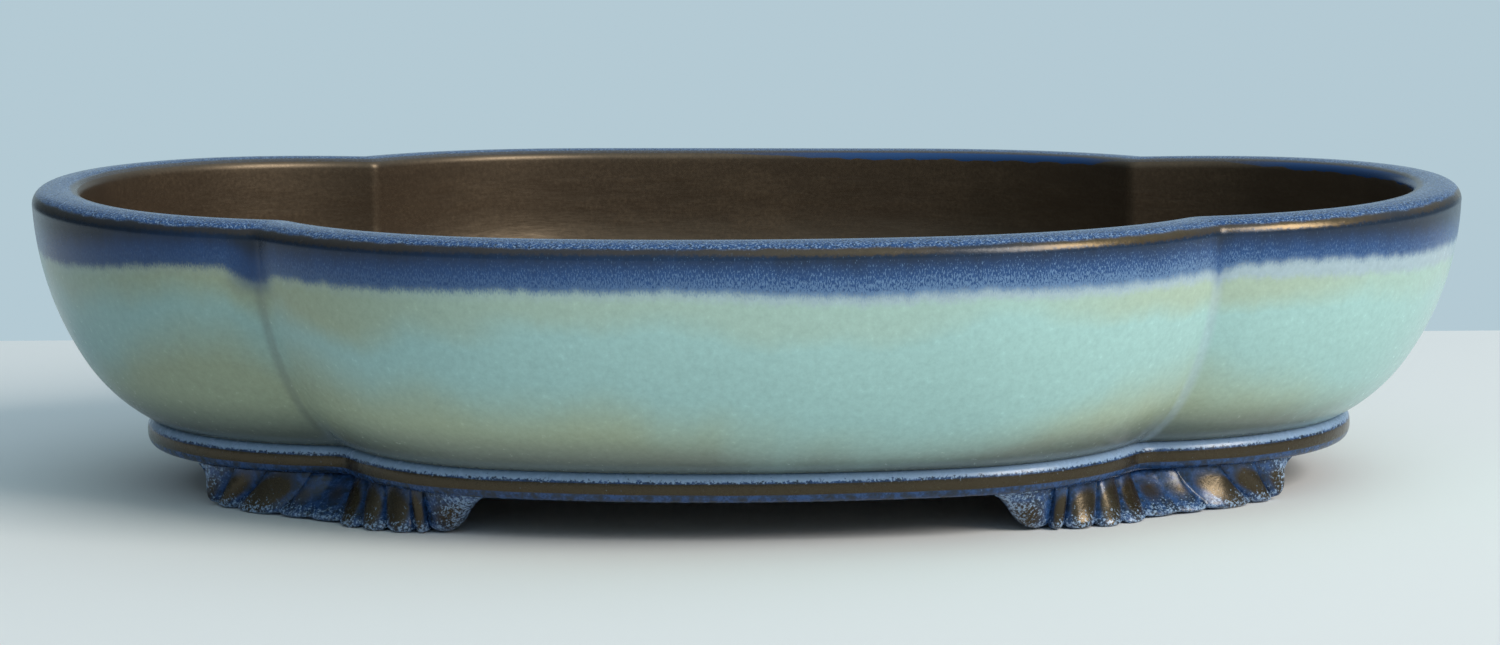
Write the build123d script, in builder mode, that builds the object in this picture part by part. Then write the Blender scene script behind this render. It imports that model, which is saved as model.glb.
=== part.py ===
"""Shallow stoneware tray for a bonsai, with a four-lobed (mokko) outline.

The tray is put together from separately formed clay pieces: a pierced floor slab, four curved
wall slabs, four lip strips, four belt strips round the foot of the wall, and four bracket feet.
Neighbouring pieces meet on mitre planes that run down the four notches of the outline.

Millimetres. Z is up, X runs along the tray, the front is towards -Y, and the origin is on the
resting surface under the middle of the tray.
"""

import math
import os

from build123d import *

os.makedirs("parts", exist_ok=True)

# ---- heights ----
foot_height = 11.3
crease_height = 18.8
lip_joint_height = 72.0
tray_height = 80.0

# ---- outline of the rim and of the crease where the wall meets the belt ----
# Each outline is made of circular lobes: one at each end, and a long one at the front and back,
# which is a flat middle arc running into two tighter shoulder arcs.
rim_half_depth = 144.0
crease_half_depth = 111.0
rim_end_centre = 105.6
crease_end_centre = 103.4
rim_shoulder_centre = (27.4, 22.6)
crease_shoulder_centre = (43.1, 38.2)
rim_notch = (123.1, 92.7)
crease_notch = (104.9, 65.1)

# ---- wall section, as insets from the rim outline ----
crease_inset = 32.2
upper_arc_radius = 78.0
upper_arc_height = 78.5
lower_arc_radius = 46.5
lower_arc_start = 35.0
inner_arc_radius = 45.0
inner_arc_height = 62.0
wall_heights = (crease_height, 21.0, 24.5, 29.0, 35.0, 43.0, 53.0, 63.0, lip_joint_height)

# ---- lip ----
lip_width = 13.3
lip_outer_round = 4.0
lip_inner_round = 2.5

# ---- belt and floor ----
belt_depth = 8.0
belt_top_set_back = 0.4
belt_swell = 0.9
belt_foot_set_back = 1.0
drain_radius = 12.0
drain_spacing = 124.0
wire_hole_radius = 2.5
wire_hole_spacing = (196.0, 68.0)

# ---- bracket feet, measured at the front right foot ----
foot_top_set_back = 1.5
foot_top_depth = 22.0
foot_end_angle = -45.0
foot_front_angle = -71.5
foot_toe_reach = 9.5
foot_toe_front = (70.0, -88.5)
foot_toe_front_bow = (90.0, -88.0)
foot_toe_end = (144.5, -48.0)
foot_toe_end_bow = (126.5, -66.5)
foot_heel_reach = -10.0
foot_heel_front = (68.0, -74.0)
foot_heel_end = (126.0, -37.0)


def blend(rim_value, crease_value, share):
    """A length part of the way from the rim (share 0) to the crease (share 1)."""
    return rim_value + (crease_value - rim_value) * share


def blend_point(rim_point, crease_point, share):
    """A point part of the way from the rim to the crease."""
    return tuple(blend(a, b, share) for a, b in zip(rim_point, crease_point))


class Outline:
    """The four-lobed outline at one level, moved inwards by an even inset."""

    def __init__(self, share, inset=0.0):
        notch = blend_point(rim_notch, crease_notch, share)
        self.end_x = blend(rim_end_centre, crease_end_centre, share)
        self.shoulder = blend_point(rim_shoulder_centre, crease_shoulder_centre, share)
        self.end_radius = math.dist(notch, (self.end_x, 0)) - inset
        self.shoulder_radius = math.dist(notch, self.shoulder) - inset
        self.half_depth = blend(rim_half_depth, crease_half_depth, share) - inset
        # The middle arc touches the shoulder arcs from outside, which fixes its centre.
        shoulder_x, shoulder_y = self.shoulder
        rise = self.half_depth - self.shoulder_radius
        self.middle_y = (math.hypot(shoulder_x, shoulder_y) ** 2 - rise**2) / (2 * (rise - shoulder_y))
        self.middle_radius = self.middle_y + self.half_depth
        self.middle_angle = math.degrees(math.atan2(shoulder_x, shoulder_y + self.middle_y))

    def on_end(self, angle):
        """The point at an angle on the right-hand end lobe."""
        turn = math.radians(angle)
        return (self.end_x + self.end_radius * math.cos(turn), self.end_radius * math.sin(turn))

    def on_shoulder(self, angle):
        """The point at an angle on the front right shoulder arc."""
        turn = math.radians(angle)
        return (
            self.shoulder[0] + self.shoulder_radius * math.cos(turn),
            -self.shoulder[1] + self.shoulder_radius * math.sin(turn),
        )

    def notch_angles(self):
        """Angles of the front right notch, seen from the end centre and the shoulder centre."""
        step_x = self.shoulder[0] - self.end_x
        step_y = -self.shoulder[1]
        apart = math.hypot(step_x, step_y)
        along = (self.end_radius**2 - self.shoulder_radius**2 + apart**2) / (2 * apart)
        across = math.sqrt(self.end_radius**2 - along**2)
        notch_x = self.end_x + (along * step_x - across * step_y) / apart
        notch_y = (along * step_y + across * step_x) / apart
        from_end = math.degrees(math.atan2(notch_y, notch_x - self.end_x))
        from_shoulder = math.degrees(math.atan2(notch_y + self.shoulder[1], notch_x - self.shoulder[0]))
        return from_end, from_shoulder

    def quarter_points(self):
        """Join of middle and shoulder arcs, a point on the shoulder arc, and the notch."""
        from_end, from_shoulder = self.notch_angles()
        join_angle = self.middle_angle - 90
        return (
            self.on_shoulder(join_angle),
            self.on_shoulder((join_angle + from_shoulder) / 2),
            self.on_end(from_end),
        )


def draw_outline(outline):
    """Draws the closed outline, anticlockwise from the front."""
    join, bow, notch = outline.quarter_points()
    tip = (outline.end_x + outline.end_radius, 0)

    def flip(point, x_sign, y_sign):
        return (x_sign * point[0], y_sign * point[1])

    ThreePointArc(flip(join, -1, 1), (0, -outline.half_depth), join)
    ThreePointArc(join, bow, notch)
    ThreePointArc(notch, tip, flip(notch, 1, -1))
    ThreePointArc(flip(notch, 1, -1), flip(bow, 1, -1), flip(join, 1, -1))
    ThreePointArc(flip(join, 1, -1), (0, outline.half_depth), flip(join, -1, -1))
    ThreePointArc(flip(join, -1, -1), flip(bow, -1, -1), flip(notch, -1, -1))
    ThreePointArc(flip(notch, -1, -1), flip(tip, -1, 1), flip(notch, -1, 1))
    ThreePointArc(flip(notch, -1, 1), flip(bow, -1, 1), flip(join, -1, 1))


def outer_inset(height):
    """Inset of the wall's outer face: a wide arc over a tighter one that tucks under."""
    if height >= lower_arc_start:
        drop = upper_arc_height - height
        return upper_arc_radius - math.sqrt(upper_arc_radius**2 - drop**2)
    start_drop = upper_arc_height - lower_arc_start
    start_inset = outer_inset(lower_arc_start)
    across = (upper_arc_radius - start_inset) / upper_arc_radius
    centre_inset = start_inset + lower_arc_radius * across
    centre_height = lower_arc_start + lower_arc_radius * start_drop / upper_arc_radius
    return centre_inset - math.sqrt(lower_arc_radius**2 - (centre_height - height) ** 2)


def inner_inset(height):
    """Inset of the wall's inner face: straight under the lip, then one arc down to the floor."""
    drop = max(0.0, inner_arc_height - height)
    return lip_width + inner_arc_radius - math.sqrt(inner_arc_radius**2 - drop**2)


def wall_outline(height, inset=0.0):
    """The outline of the wall's outer face at a height."""
    return Outline(outer_inset(height) / crease_inset, inset)


# Mitre planes through the notches. Each keeps the side that its normal points to.
notch_run = (rim_notch[0] - crease_notch[0], rim_notch[1] - crease_notch[1])


def mitre(x_sign, y_sign, towards_end):
    """The upright plane down one notch, its normal towards the end lobe or the long lobe."""
    side = 1 if towards_end else -1
    normal = (x_sign * side * notch_run[1], -y_sign * side * notch_run[0], 0)
    return Plane(origin=(x_sign * rim_notch[0], y_sign * rim_notch[1], 0), z_dir=normal)


def lobe_mitres(lobe):
    """The two mitre planes that bound a lobe."""
    if lobe == "front":
        return mitre(-1, -1, False), mitre(1, -1, False)
    if lobe == "back":
        return mitre(-1, 1, False), mitre(1, 1, False)
    x_sign = 1 if lobe == "right" else -1
    return mitre(x_sign, -1, True), mitre(x_sign, 1, True)


lobes = ("front", "back", "left", "right")


def lobe_arcs(lobe, outline):
    """Centre, radius, start angle and sweep of each arc of a lobe, run past its notches."""
    overrun = 12.0
    from_end, from_shoulder = outline.notch_angles()
    middle = outline.middle_angle
    if lobe in ("left", "right"):
        x_sign = 1 if lobe == "right" else -1
        start = from_end - overrun + (0 if lobe == "right" else 180)
        return [((x_sign * outline.end_x, 0), outline.end_radius, start, 2 * (overrun - from_end))]
    y_sign = -1 if lobe == "front" else 1
    facing = 90 * y_sign
    shoulder_sweep = from_shoulder + overrun - (middle - 90)
    arcs = [((0, -y_sign * outline.middle_y), outline.middle_radius, facing - middle, 2 * middle)]
    for x_sign in (-1, 1):
        centre = (x_sign * outline.shoulder[0], y_sign * outline.shoulder[1])
        start = facing + middle if x_sign * y_sign < 0 else facing - middle - shoulder_sweep
        arcs.append((centre, outline.shoulder_radius, start, shoulder_sweep))
    return arcs


def arc_plane(centre, angle):
    """An upright plane through a vertical axis, its local X pointing out at an angle."""
    turn = math.radians(angle)
    out = (math.cos(turn), math.sin(turn), 0)
    return Plane(origin=(*centre, 0), x_dir=out, z_dir=(out[1], -out[0], 0))


def draw_lip_section(radius):
    """The lip's section: flat-topped, rounded outside and inside, set on the wall."""
    foot = radius - outer_inset(lip_joint_height)
    inner = radius - lip_width
    Line((foot, lip_joint_height), (radius, tray_height - lip_outer_round))
    JernArc((radius, tray_height - lip_outer_round), (0, 1), lip_outer_round, 90)
    Line((radius - lip_outer_round, tray_height), (inner + lip_inner_round, tray_height))
    JernArc((inner + lip_inner_round, tray_height), (-1, 0), lip_inner_round, 90)
    Line((inner, tray_height - lip_inner_round), (inner, lip_joint_height))
    Line((inner, lip_joint_height), (foot, lip_joint_height))


def draw_belt_section(radius):
    """The belt's section: a rounded band with a swelling face, and a plain hidden back."""
    back = radius - belt_depth - 1.0
    top = (radius - belt_top_set_back, crease_height)
    bottom = (radius - belt_foot_set_back, foot_height)
    ThreePointArc(top, (radius + belt_swell, (crease_height + foot_height) / 2), bottom)
    Polyline(bottom, (back, foot_height), (back, crease_height), top)


rim = Outline(0)
crease = Outline(1)

# ---- floor slab ----
with BuildPart() as floor_slab:
    with BuildSketch(Plane.XY.offset(foot_height)):
        with BuildLine():
            draw_outline(Outline(1, belt_depth))
        make_face()
    extrude(amount=crease_height - foot_height)
    with GridLocations(drain_spacing, 0, 2, 1):
        Hole(drain_radius)
    with GridLocations(*wire_hole_spacing, 2, 2):
        Hole(wire_hole_radius)
floor_slab.part.label = "floor_slab"
export_step(floor_slab.part, "parts/floor_slab.step")

# ---- wall: one turned bowl, parted at the notches into four slabs ----
with BuildPart() as bowl:
    for height in wall_heights:
        with BuildSketch(Plane.XY.offset(height)):
            with BuildLine():
                draw_outline(wall_outline(height))
            make_face()
    loft()
    for height in wall_heights:
        thickness = inner_inset(height) - outer_inset(height)
        with BuildSketch(Plane.XY.offset(height)):
            with BuildLine():
                draw_outline(wall_outline(height, thickness))
            make_face()
    loft(mode=Mode.SUBTRACT)

for lobe in lobes:
    with BuildPart() as wall:
        add(bowl.part)
        for plane in lobe_mitres(lobe):
            split(bisect_by=plane, keep=Keep.TOP)
    wall.part.label = f"wall_{lobe}"
    export_step(wall.part, f"parts/wall_{lobe}.step")

# ---- lip strips ----
for lobe in lobes:
    with BuildPart() as lip:
        for centre, radius, start, sweep_angle in lobe_arcs(lobe, rim):
            with BuildSketch(arc_plane(centre, start)):
                with BuildLine():
                    draw_lip_section(radius)
                make_face()
            revolve(axis=Axis((*centre, 0), (0, 0, 1)), revolution_arc=sweep_angle)
        for plane in lobe_mitres(lobe):
            split(bisect_by=plane, keep=Keep.TOP)
    lip.part.label = f"lip_{lobe}"
    export_step(lip.part, f"parts/lip_{lobe}.step")

# ---- belt strips, scribed to the edge of the floor slab ----
for lobe in lobes:
    with BuildPart() as belt:
        for centre, radius, start, sweep_angle in lobe_arcs(lobe, crease):
            with BuildSketch(arc_plane(centre, start)):
                with BuildLine():
                    draw_belt_section(radius)
                make_face()
            revolve(axis=Axis((*centre, 0), (0, 0, 1)), revolution_arc=sweep_angle)
        with BuildSketch(Plane.XY.offset(foot_height)):
            with BuildLine():
                draw_outline(Outline(1, belt_depth))
            make_face()
        extrude(amount=crease_height - foot_height, mode=Mode.SUBTRACT)
        for plane in lobe_mitres(lobe):
            split(bisect_by=plane, keep=Keep.TOP)
    belt.part.label = f"belt_{lobe}"
    export_step(belt.part, f"parts/belt_{lobe}.step")

# ---- bracket feet ----
notch_length = math.hypot(*notch_run)


def beyond_notch(reach):
    """A point on the front right mitre line, measured outwards from the crease's notch."""
    return (
        crease_notch[0] + reach * notch_run[0] / notch_length,
        -crease_notch[1] - reach * notch_run[1] / notch_length,
    )


def draw_foot_top():
    """The foot's upper outline: it hugs the belt round the notch."""
    outer = Outline(1, foot_top_set_back)
    inner = Outline(1, foot_top_depth)
    outer_end, outer_shoulder = outer.notch_angles()
    inner_end, inner_shoulder = inner.notch_angles()
    outer_notch = outer.on_end(outer_end)
    inner_notch = inner.on_end(inner_end)
    end_bow = (outer_end + foot_end_angle) / 2
    front_bow = (outer_shoulder + foot_front_angle) / 2
    ThreePointArc(outer.on_shoulder(foot_front_angle), outer.on_shoulder(front_bow), outer_notch)
    ThreePointArc(outer_notch, outer.on_end(end_bow), outer.on_end(foot_end_angle))
    Line(outer.on_end(foot_end_angle), inner.on_end(foot_end_angle))
    Line(inner.on_end(foot_end_angle), inner_notch)
    Line(inner_notch, inner.on_shoulder(foot_front_angle))
    Line(inner.on_shoulder(foot_front_angle), outer.on_shoulder(foot_front_angle))


def draw_foot_toe():
    """The foot's outline on the ground: a bowed toe that bridges the notch."""
    toe = beyond_notch(foot_toe_reach)
    heel = beyond_notch(foot_heel_reach)
    ThreePointArc(foot_toe_front, foot_toe_front_bow, toe)
    ThreePointArc(toe, foot_toe_end_bow, foot_toe_end)
    Polyline(foot_toe_end, foot_heel_end, heel, foot_heel_front, foot_toe_front)


with BuildPart() as foot:
    with BuildSketch(Plane.XY):
        with BuildLine():
            draw_foot_toe()
        make_face()
    with BuildSketch(Plane.XY.offset(foot_height)):
        with BuildLine():
            draw_foot_top()
        make_face()
    loft(ruled=True)

for side in ("left", "right"):
    for face in ("front", "back"):
        with BuildPart() as bracket:
            add(foot.part)
            if side == "left":
                mirror(about=Plane.YZ, mode=Mode.REPLACE)
            if face == "back":
                mirror(about=Plane.XZ, mode=Mode.REPLACE)
        bracket.part.label = f"foot_{face}_{side}"
        export_step(bracket.part, f"parts/foot_{face}_{side}.step")
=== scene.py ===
"""A glazed mokko bonsai tray: its walls, lip, belt and fluted feet, dressed over the fixed frame."""

import math

import bmesh
import bpy
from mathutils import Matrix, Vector, noise


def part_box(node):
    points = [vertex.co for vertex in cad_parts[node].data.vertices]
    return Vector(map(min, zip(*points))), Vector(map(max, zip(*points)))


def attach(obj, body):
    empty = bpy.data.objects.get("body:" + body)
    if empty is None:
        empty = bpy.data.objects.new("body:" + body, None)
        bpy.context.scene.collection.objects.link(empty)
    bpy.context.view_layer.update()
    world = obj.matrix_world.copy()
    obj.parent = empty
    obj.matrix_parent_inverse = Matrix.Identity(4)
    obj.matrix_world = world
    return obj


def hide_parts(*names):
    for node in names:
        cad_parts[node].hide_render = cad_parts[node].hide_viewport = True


bl_info = {
    "name": "Mokko Bonsai Tray",
    "version": (1, 0, 0),
    "blender": (4, 5, 0),
    "location": "View3D > Sidebar > Tray",
    "description": "Builds the walls, lip, belt and feet of a glazed bonsai tray over its fixed frame",
    "category": "Object",
}

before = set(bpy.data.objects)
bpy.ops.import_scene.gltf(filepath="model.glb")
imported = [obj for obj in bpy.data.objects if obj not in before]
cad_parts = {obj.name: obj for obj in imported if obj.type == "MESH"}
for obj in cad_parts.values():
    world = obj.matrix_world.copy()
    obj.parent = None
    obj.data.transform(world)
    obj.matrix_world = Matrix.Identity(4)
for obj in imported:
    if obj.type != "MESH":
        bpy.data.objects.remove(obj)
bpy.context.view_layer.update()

MM = 0.001
LOBES = ("front", "right", "back", "left")

# Heights, read from the frame.
FOOT_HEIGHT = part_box("floor_slab")[0].z
CREASE_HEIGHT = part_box("floor_slab")[1].z
LIP_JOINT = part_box("lip_front")[0].z
TRAY_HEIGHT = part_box("lip_front")[1].z
RIM_HALF_DEPTH = -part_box("lip_front")[0].y
RIM_HALF_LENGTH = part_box("lip_right")[1].x
RIM_NOTCH = (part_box("lip_front")[1].x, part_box("lip_right")[1].y)


# ---------------------------------------------------------------------------
# Settings that a user would change
# ---------------------------------------------------------------------------


def length(name, description, default):
    """A length property in metres."""
    return bpy.props.FloatProperty(name=name, description=description, default=default, unit="LENGTH")


def place(name, description, default):
    """A place in plan, in metres."""
    return bpy.props.FloatVectorProperty(
        name=name, description=description, default=default, size=2, unit="LENGTH", precision=4
    )


def tint(name, description, default):
    """A linear colour property."""
    return bpy.props.FloatVectorProperty(
        name=name, description=description, default=default, size=3, subtype="COLOR", min=0, max=1
    )


class TrayPlanSettings(bpy.types.PropertyGroup):
    """The four-lobed plan, and how it draws in from the rim to the crease over the belt."""

    rim_half_depth: length("Rim half depth", "From the middle to the front of the rim", RIM_HALF_DEPTH)
    crease_half_depth: length("Crease half depth", "From the middle to the front of the crease", 0.111)
    rim_end_centre: length("Rim end centre", "Centre of the end lobes at the rim", 0.1056)
    crease_end_centre: length("Crease end centre", "Centre of the end lobes at the crease", 0.1034)
    rim_shoulder: place("Rim shoulder", "Centre of the shoulder arcs at the rim", (0.0274, 0.0226))
    crease_shoulder: place("Crease shoulder", "Centre of the shoulder arcs at the crease", (0.0431, 0.0382))
    rim_notch: place("Rim notch", "The notch at the rim", RIM_NOTCH)
    crease_notch: place("Crease notch", "The notch at the crease", (0.1049, 0.0651))
    rim_softening: length("Rim softening", "How far from a notch the rim is eased", 0.0022)
    crease_softening: length("Crease softening", "How far from a notch the crease is eased", 0.005)
    hand_wobble: length("Hand wobble", "Unevenness of the hand-worked surface", 0.0003)


class TraySectionSettings(bpy.types.PropertyGroup):
    """The wall's section, from the lip to the belt."""

    upper_arc_radius: length("Upper arc", "Radius of the wall's upper outer face", 0.078)
    upper_arc_height: length("Upper arc height", "Height where the upper arc is upright", 0.0785)
    lower_arc_radius: length("Lower arc", "Radius of the wall's lower outer face", 0.0465)
    lower_arc_start: length("Lower arc start", "Height where the lower arc begins", 0.035)
    crease_inset: length("Crease inset", "How far the crease is inside the rim", 0.0322)
    inner_arc_radius: length("Inner arc", "Radius of the wall's inner face", 0.045)
    inner_arc_height: length("Inner arc height", "Height where the inner arc is upright", 0.062)
    lip_width: length("Lip width", "Across the top of the lip", 0.0133)
    lip_outer_round: length("Lip outer round", "Radius of the lip's outer edge", 0.0042)
    lip_inner_round: length("Lip inner round", "Radius of the lip's inner edge", 0.0026)
    belt_depth: length("Belt depth", "From the belt's face to its hidden back", 0.0085)
    belt_swell: length("Belt swell", "How far the belt stands out from the crease", 0.0016)


class TrayFootSettings(bpy.types.PropertyGroup):
    """The fluted bracket feet."""

    top_set_back: length("Top set back", "How far the foot's top is inside the crease", 0.0012)
    rib_depth: length("Rib depth", "Depth of the grooves between the ribs", 0.0031)
    scallop: length("Scallop", "Rise of the lower edge at each groove", 0.0016)
    toe_round: length("Toe round", "Radius of the lower edge", 0.0022)


class TrayGlazeSettings(bpy.types.PropertyGroup):
    """Colours of the glazes and of the bare clay."""

    celadon: tint("Celadon", "The turquoise body glaze", (0.365, 0.575, 0.55))
    olive: tint("Olive", "The body glaze where it is thin", (0.40, 0.47, 0.33))
    # Painted shade: the dark of the crease over the belt and of the left notches, given as a colour.
    crease_shade: tint("Ash", "The body glaze over the belt", (0.15, 0.18, 0.165))
    fringe: tint("Fringe", "The pale fringe under the blue rim", (0.36, 0.46, 0.53))
    hair: tint("Hair", "The fine blue hairs in the rim glaze", (0.19, 0.32, 0.50))
    cobalt: tint("Cobalt", "The blue rim glaze", (0.018, 0.064, 0.190))
    night: tint("Night", "The darkest blue of the rim", (0.012, 0.022, 0.042))
    bronze: tint("Bronze", "The lustrous brown where the glaze breaks over an edge", (0.125, 0.088, 0.044))
    iron: tint("Iron", "The darker brown on the belt, the feet and inside the lip", (0.062, 0.047, 0.028))
    sky: tint("Sky", "The pale blue freckles", (0.33, 0.47, 0.68))
    clay: tint("Clay", "The bare stoneware", (0.034, 0.022, 0.014))
    clay_light: tint("Pale clay", "The paler bloom on the bare stoneware", (0.080, 0.054, 0.033))


# ---------------------------------------------------------------------------
# The four-lobed plan
# ---------------------------------------------------------------------------


def between(first, last, share):
    """A value part of the way from first to last."""
    return first + (last - first) * share


def ease(value, low, high):
    """0 below low, 1 above high, and a smooth rise between them."""
    share = min(1.0, max(0.0, (value - low) / (high - low)))
    return share * share * (3 - 2 * share)


def bezier(start, control, end, share):
    """A point on a quadratic curve in plan."""
    return start.lerp(control, share).lerp(control.lerp(end, share), share)


class Outline:
    """The outline at one level: end lobes, and long lobes of a middle and two shoulder arcs."""

    def __init__(self, plan, share, inset):
        notch = between(Vector(plan.rim_notch), Vector(plan.crease_notch), share)
        self.end = Vector((between(plan.rim_end_centre, plan.crease_end_centre, share), 0))
        self.shoulder = between(Vector(plan.rim_shoulder), Vector(plan.crease_shoulder), share)
        self.end_radius = (notch - self.end).length - inset
        self.shoulder_radius = (notch - self.shoulder).length - inset
        half_depth = between(plan.rim_half_depth, plan.crease_half_depth, share) - inset
        rise = half_depth - self.shoulder_radius
        middle_y = (self.shoulder.length_squared - rise**2) / (2 * (rise - self.shoulder.y))
        self.middle = Vector((0, -middle_y))
        self.middle_radius = middle_y + half_depth
        self.middle_angle = math.atan2(self.shoulder.x, self.shoulder.y + middle_y)
        step = self.shoulder - self.end
        along = (self.end_radius**2 - self.shoulder_radius**2 + step.length_squared) / (2 * step.length)
        across = math.sqrt(self.end_radius**2 - along**2)
        to_notch = (step * along + Vector((-step.y, step.x)) * -across) / step.length
        from_shoulder = self.end + to_notch - self.shoulder
        self.notch_at_end = math.atan2(to_notch.y, to_notch.x)
        self.notch_at_shoulder = math.atan2(from_shoulder.y, from_shoulder.x)
        self.softening = between(plan.rim_softening, plan.crease_softening, share)
        run = Vector(plan.rim_notch) - Vector(plan.crease_notch)
        self.outwards = run.normalized()

    @staticmethod
    def on_arc(centre, radius, angle):
        """A point on an arc, at an angle turned from +X towards +Y."""
        return centre + radius * Vector((math.cos(angle), math.sin(angle)))

    def lengths(self):
        """Arc lengths of half a long lobe's middle, a shoulder, and half an end lobe."""
        join = math.pi / 2 - self.middle_angle
        return (
            self.middle_radius * self.middle_angle,
            self.shoulder_radius * (join - self.notch_at_shoulder),
            self.end_radius * self.notch_at_end,
        )

    def quarter(self, distance):
        """A point of the first quarter, by its distance along the outline from the end's tip."""
        _, shoulder, end = self.lengths()
        if distance <= end:
            return self.on_arc(self.end, self.end_radius, distance / self.end_radius)
        if distance <= end + shoulder:
            turn = self.notch_at_shoulder + (distance - end) / self.shoulder_radius
            return self.on_arc(self.shoulder, self.shoulder_radius, turn)
        turn = math.pi / 2 - self.middle_angle + (distance - end - shoulder) / self.middle_radius
        return self.on_arc(self.middle, self.middle_radius, turn)

    def softened(self, distance):
        """The same point, eased out of the notch, and its distance from the notch."""
        end = self.lengths()[2]
        point = self.quarter(distance)
        away = abs(distance - end)
        if away < self.softening:
            slope = math.sin((self.notch_at_end - self.notch_at_shoulder) / 2)
            point = point + self.outwards * (slope * self.softening / 2) * (1 - away / self.softening) ** 2
        return point, away

    def on_lobe(self, lobe, share):
        """A point part of the way round a lobe, anticlockwise, and its distance from a notch."""
        middle, shoulder, end = self.lengths()
        half = end if lobe in ("left", "right") else middle + shoulder
        offset = (2 * share - 1) * half
        if lobe in ("left", "right"):
            point, away = self.softened(abs(offset))
            across = point.x if lobe == "right" else -point.x
            along = math.copysign(point.y, offset if lobe == "right" else -offset)
            return Vector((across, along)), away
        point, away = self.softened(end + half - abs(offset))
        across = math.copysign(point.x, offset if lobe == "front" else -offset)
        return Vector((across, -point.y if lobe == "front" else point.y)), away


def outer_inset(section, height):
    """Inset of the wall's outer face at a height."""
    if height >= section.lower_arc_start:
        drop = section.upper_arc_height - height
        return section.upper_arc_radius - math.sqrt(section.upper_arc_radius**2 - drop**2)
    start = outer_inset(section, section.lower_arc_start)
    drop = section.upper_arc_height - section.lower_arc_start
    centre = start + section.lower_arc_radius * (section.upper_arc_radius - start) / section.upper_arc_radius
    level = section.lower_arc_start + section.lower_arc_radius * drop / section.upper_arc_radius
    return centre - math.sqrt(section.lower_arc_radius**2 - (level - height) ** 2)


def inner_inset(section, height):
    """Inset of the wall's inner face at a height."""
    drop = max(0.0, section.inner_arc_height - height)
    return section.lip_width + section.inner_arc_radius - math.sqrt(section.inner_arc_radius**2 - drop**2)


def warp_lift(point, height):
    """How far a gentle warp lifts or drops the tray, more towards the rim."""
    x = point.x / RIM_HALF_LENGTH
    y = point.y / RIM_HALF_DEPTH
    lift = 4.2 * x * x - 1.25 * x + 1.0 * y + 1.3 * y * y + 3.5 * x * x * y - 0.75 * x * y
    return MM * lift * height / TRAY_HEIGHT


# ---------------------------------------------------------------------------
# Turning strips from their sections
# ---------------------------------------------------------------------------

TURN = math.radians(90)
MARKS = ("around", "up", "across", "notch", "crest")


def turned_strip(section, steps, set_down):
    """Spins a closed section of (inset, height) into a strip, caps it, and sets every point down.

    set_down takes the share of the turn, the inset and the height, and gives the point's place
    and its marks for the glaze.
    """
    strip = bmesh.new()
    layers = [strip.verts.layers.float.new(mark) for mark in MARKS]
    ring = [strip.verts.new((1.0 - inset, 0.0, height)) for inset, height in section]
    edges = [strip.edges.new(pair) for pair in zip(ring, ring[1:] + ring[:1])]
    bmesh.ops.spin(
        strip, geom=ring + edges, cent=(0, 0, 0), axis=(0, 0, 1), dvec=(0, 0, 0),
        angle=TURN, steps=steps, use_merge=False, use_duplicate=False,
    )
    open_edges = [edge for edge in strip.edges if edge.is_boundary]
    bmesh.ops.holes_fill(strip, edges=open_edges, sides=0)
    for vert in strip.verts:
        turned = math.atan2(vert.co.y, vert.co.x) / TURN
        inset = 1.0 - vert.co.xy.length
        vert.co, marks = set_down(min(1.0, max(0.0, turned)), inset, vert.co.z)
        for layer, mark in zip(layers, marks):
            vert[layer] = mark
    bmesh.ops.remove_doubles(strip, verts=strip.verts, dist=1e-6)
    bmesh.ops.recalc_face_normals(strip, faces=strip.faces)
    return strip


def finish_piece(name, strip, nodes, materials, bare=None):
    """Makes the strip an object that rides on the tray in place of its CAD nodes."""
    for face in strip.faces:
        face.smooth = True
        if bare is not None and bare(face):
            face.material_index = 1
    mesh = bpy.data.meshes.new(name)
    strip.to_mesh(mesh)
    strip.free()
    mesh.set_sharp_from_angle(angle=math.radians(50))
    for material in materials:
        mesh.materials.append(material)
    piece = bpy.data.objects.new(name, mesh)
    bpy.context.scene.collection.objects.link(piece)
    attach(piece, "root")
    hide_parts(*nodes)
    return piece


def arc(centre, radius, start, end, steps):
    """Points along an arc in a section, with angles in degrees."""
    turns = [math.radians(between(start, end, step / steps)) for step in range(steps + 1)]
    return [(centre[0] + radius * math.cos(turn), centre[1] + radius * math.sin(turn)) for turn in turns]


def levels(low, high, steps):
    """Even heights from low to high."""
    return [between(low, high, step / steps) for step in range(steps + 1)]


def lobe_setter(plan, lobe, shape, crest=None):
    """How a strip is set down on a lobe. shape gives the share and inset of an inset and height."""
    outlines = {}
    first = LOBES.index(lobe)

    def set_down(turned, inset, height):
        key = (round(inset, 6), round(height, 6))
        if key not in outlines:
            outlines[key] = Outline(plan, *shape(inset, height))
        along = turned - 0.78 * math.sin(2 * math.pi * turned) / (2 * math.pi)
        point, away = outlines[key].on_lobe(lobe, along)
        wobble = plan.hand_wobble * noise.noise(Vector((point.x, point.y, height)) * 22)
        out = Vector((point.x, point.y * 1.4)).normalized()
        point = point + out * wobble
        rim_length = 2 * sum(Outline(plan, 0, 0).lengths()[:2]) if lobe in ("front", "back") else 0.27
        shown = crest(inset, height) if crest else 0.0
        marks = (first * 0.4 + along * rim_length, height, inset, away, shown)
        return Vector((point.x, point.y, height + warp_lift(point, height))), marks

    return set_down


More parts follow.
